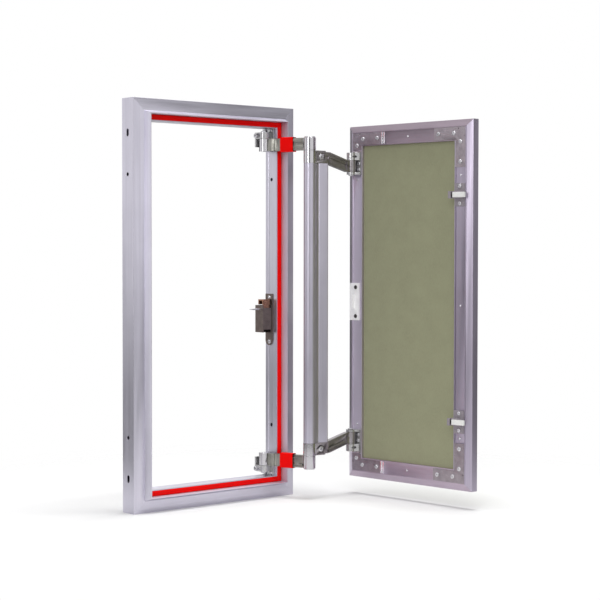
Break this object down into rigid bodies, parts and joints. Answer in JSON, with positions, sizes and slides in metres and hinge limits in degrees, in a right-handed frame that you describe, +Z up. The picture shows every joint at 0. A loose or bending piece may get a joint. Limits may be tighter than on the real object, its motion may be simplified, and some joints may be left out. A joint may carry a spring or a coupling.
{
  "type": "tile access panel",
  "caption": "Tall aluminium access panel for tiled walls, door of green board carried out and aside by double-jointed arms, with a red seal and a push latch.",
  "frame": {"origin": "middle of the wall frame's bottom outer face: mid width and mid depth of its side walls", "axes": "+X to the right across the wall seen from the room, on the hinge side; +Y into the wall, away from the room; +Z up"},
  "size_m": [0.4114, 0.3212, 0.6],
  "materials": {
    "frame_aluminium": "mill-finish anodised extrusion",
    "door_aluminium": "mill-finish extrusion",
    "tie_aluminium": "mill-finish extrusion",
    "seal_rubber": "matt",
    "sleeve_rubber": "satin",
    "cast_metal": "die-cast, satin",
    "key_metal": "die-cast",
    "zinc_steel": "zinc plated",
    "dark_steel": "oiled",
    "latch_steel": "satin",
    "copper_steel": "copper-toned",
    "corner_steel": "satin",
    "bright_steel": "polished",
    "strike_white": "satin",
    "catch_grey": "translucent grey nylon",
    "tongue_nylon": "moulded nylon",
    "green_board": "paper-faced plasterboard"
  },
  "bodies": {
    "frame": {"frame_top": "frame_aluminium", "frame_bottom": "frame_aluminium", "frame_left": "frame_aluminium", "frame_right": "frame_aluminium", "frame_corner_keys": "key_metal", "frame_seal": "seal_rubber", "frame_bracket_upper": "cast_metal", "frame_bracket_lower": "cast_metal", "frame_pivot_pins": "zinc_steel", "frame_bracket_screws": "zinc_steel", "frame_adjusting_screws": "zinc_steel", "latch_case": "latch_steel", "latch_plate": "latch_steel", "latch_pivot_pin": "zinc_steel", "latch_spring": "dark_steel", "latch_screws": "zinc_steel"},
    "latch_hook": {"latch_hook": "copper_steel"},
    "frame_arms": {"frame_arm_upper": "cast_metal", "frame_arm_lower": "cast_metal", "arm_sleeve_upper": "sleeve_rubber", "arm_sleeve_lower": "sleeve_rubber", "elbow_pins": "zinc_steel"},
    "door_arms": {"door_arm_upper": "cast_metal", "door_arm_lower": "cast_metal", "tie_bar": "tie_aluminium", "tie_bar_screws": "zinc_steel", "elbow_washers": "zinc_steel"},
    "catch_tongue_upper": {"catch_tongue_upper": "tongue_nylon"},
    "catch_tongue_lower": {"catch_tongue_lower": "tongue_nylon"},
    "door": {"door_top": "door_aluminium", "door_bottom": "door_aluminium", "door_hinge_stile": "door_aluminium", "door_free_stile": "door_aluminium", "door_board": "green_board", "corner_plate_hinge_top": "corner_steel", "corner_plate_hinge_bottom": "corner_steel", "corner_plate_free_top": "corner_steel", "corner_plate_free_bottom": "corner_steel", "corner_plate_screws": "zinc_steel", "rail_rivets": "zinc_steel", "board_clips": "bright_steel", "door_bracket_upper": "cast_metal", "door_bracket_lower": "cast_metal", "door_pivot_pins": "zinc_steel", "door_bracket_screws": "zinc_steel", "strike_plate": "strike_white", "strike_screws": "dark_steel", "catch_base_upper": "catch_grey", "catch_base_lower": "catch_grey", "catch_spring_upper": "dark_steel", "catch_spring_lower": "dark_steel", "catch_screws": "zinc_steel"}
  },
  "joints": [
    {"name": "arm_swing", "type": "hinge", "parent": "frame", "child": "frame_arms", "pos_m": [0.1075, 0.006, 0.3], "axis": [0, 0, 1], "range_deg": [-115.94, 0]},
    {"name": "elbow_swing", "type": "hinge", "parent": "frame_arms", "child": "door_arms", "pos_m": [0.13682, -0.06843, 0.3], "axis": [0, 0, 1], "range_deg": [0, 110.28]},
    {"name": "door_swing", "type": "hinge", "parent": "door_arms", "child": "door", "pos_m": [0.21702, -0.07404, 0.3], "axis": [0, 0, 1], "range_deg": [-88.94, 0]},
    {"name": "hook_tilt", "type": "hinge", "parent": "frame", "child": "latch_hook", "pos_m": [0.1083, 0.003, 0.29], "axis": [1, 0, 0], "range_deg": [-10, 0], "stiffness_Nm_per_rad": 0.05, "springref_deg": 17.19, "deforming": ["latch_spring"]},
    {"name": "catch_slide_upper", "type": "slide", "parent": "door", "child": "catch_tongue_upper", "axis": [-0.0802, 0.9968, 0], "range_m": [0, 0.004], "stiffness_N_per_m": 300, "springref_m": -0.004, "deforming": ["catch_spring_upper"]},
    {"name": "catch_slide_lower", "type": "slide", "parent": "door", "child": "catch_tongue_lower", "axis": [-0.0802, 0.9968, 0], "range_m": [0, 0.004], "stiffness_N_per_m": 300, "springref_m": -0.004, "deforming": ["catch_spring_lower"]}
  ],
  "couplings": [
    {"joint": "elbow_swing", "follows": "arm_swing", "ratio": -0.95119},
    {"joint": "door_swing", "follows": "arm_swing", "ratio": 0.76714}
  ]
}
